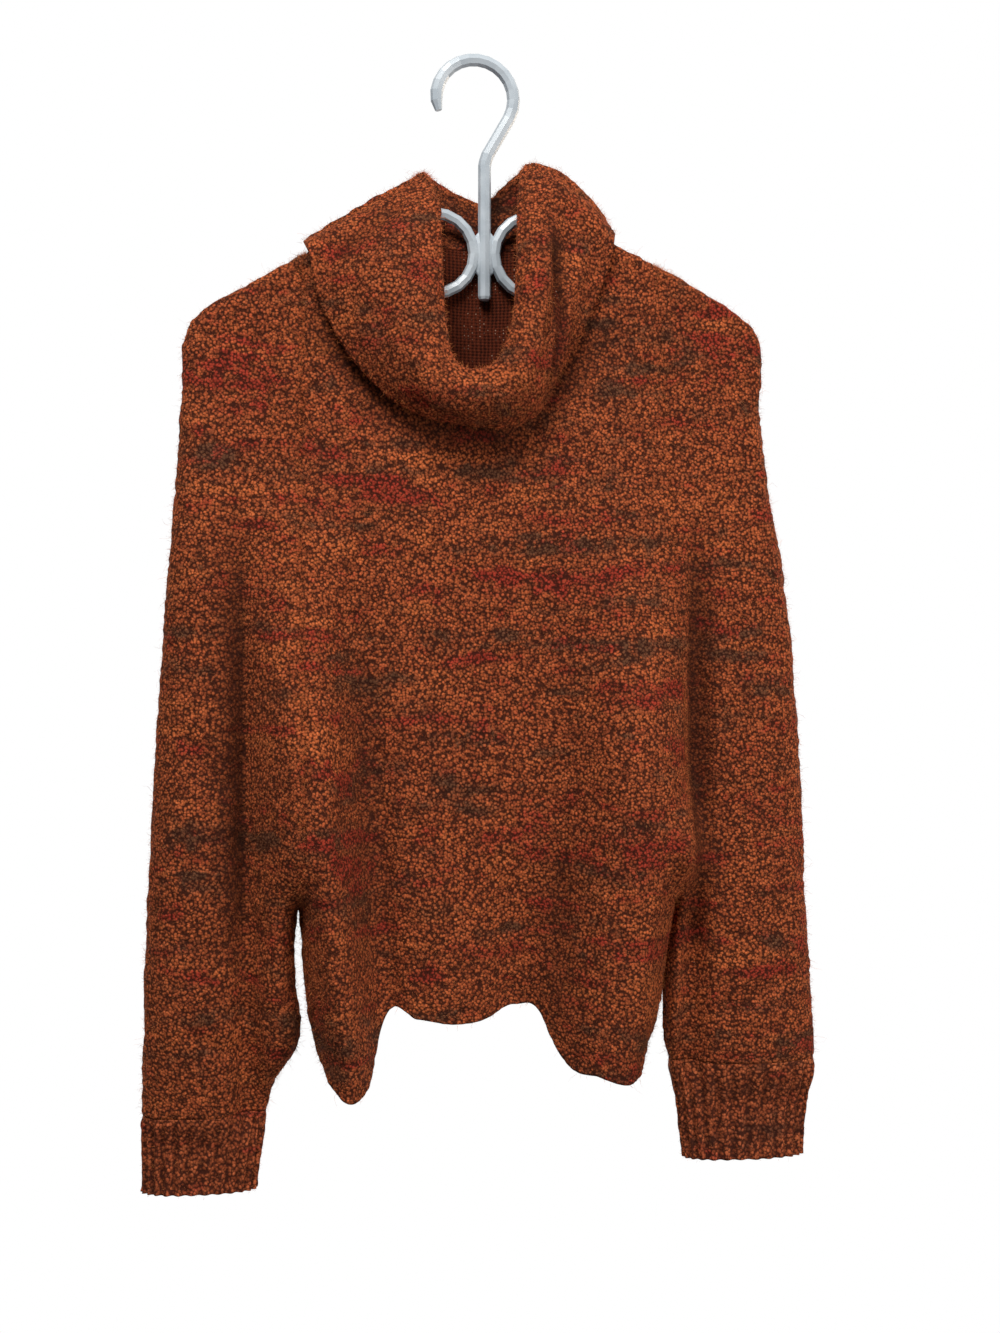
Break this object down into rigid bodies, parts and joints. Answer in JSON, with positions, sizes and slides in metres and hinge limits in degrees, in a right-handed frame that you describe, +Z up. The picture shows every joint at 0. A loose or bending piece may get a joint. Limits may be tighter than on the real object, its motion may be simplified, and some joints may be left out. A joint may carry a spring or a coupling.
{
  "type": "cowl-neck sweater on a moulded hanger",
  "caption": "Loose boucle sweater with a turned-down cowl neck, deep armholes and ribbed cuffs, hanging on a pale moulded hanger with a hook.",
  "frame": {"origin": "inner crown of the hanger's hook, where it rests on a rail", "axes": "+Z up along the stem, -Y out of the sweater's front, +X towards the wearer's left sleeve"},
  "size_m": [0.492, 0.1081, 0.8214],
  "materials": {
    "boucle_knit": "fuzzy looped knit in rust marl with brown and red space-dyed bands",
    "ribbed_knit": "soft ribbed knit in dark rust",
    "moulded_plastic": "glossy pale cool grey"
  },
  "bodies": {
    "root": {"front": "boucle_knit", "back": "boucle_knit", "sleeve_left": "boucle_knit", "sleeve_right": "boucle_knit", "cuff_left": "ribbed_knit", "cuff_right": "ribbed_knit", "collar": "boucle_knit", "hanger": "moulded_plastic"}
  },
  "joints": []
}
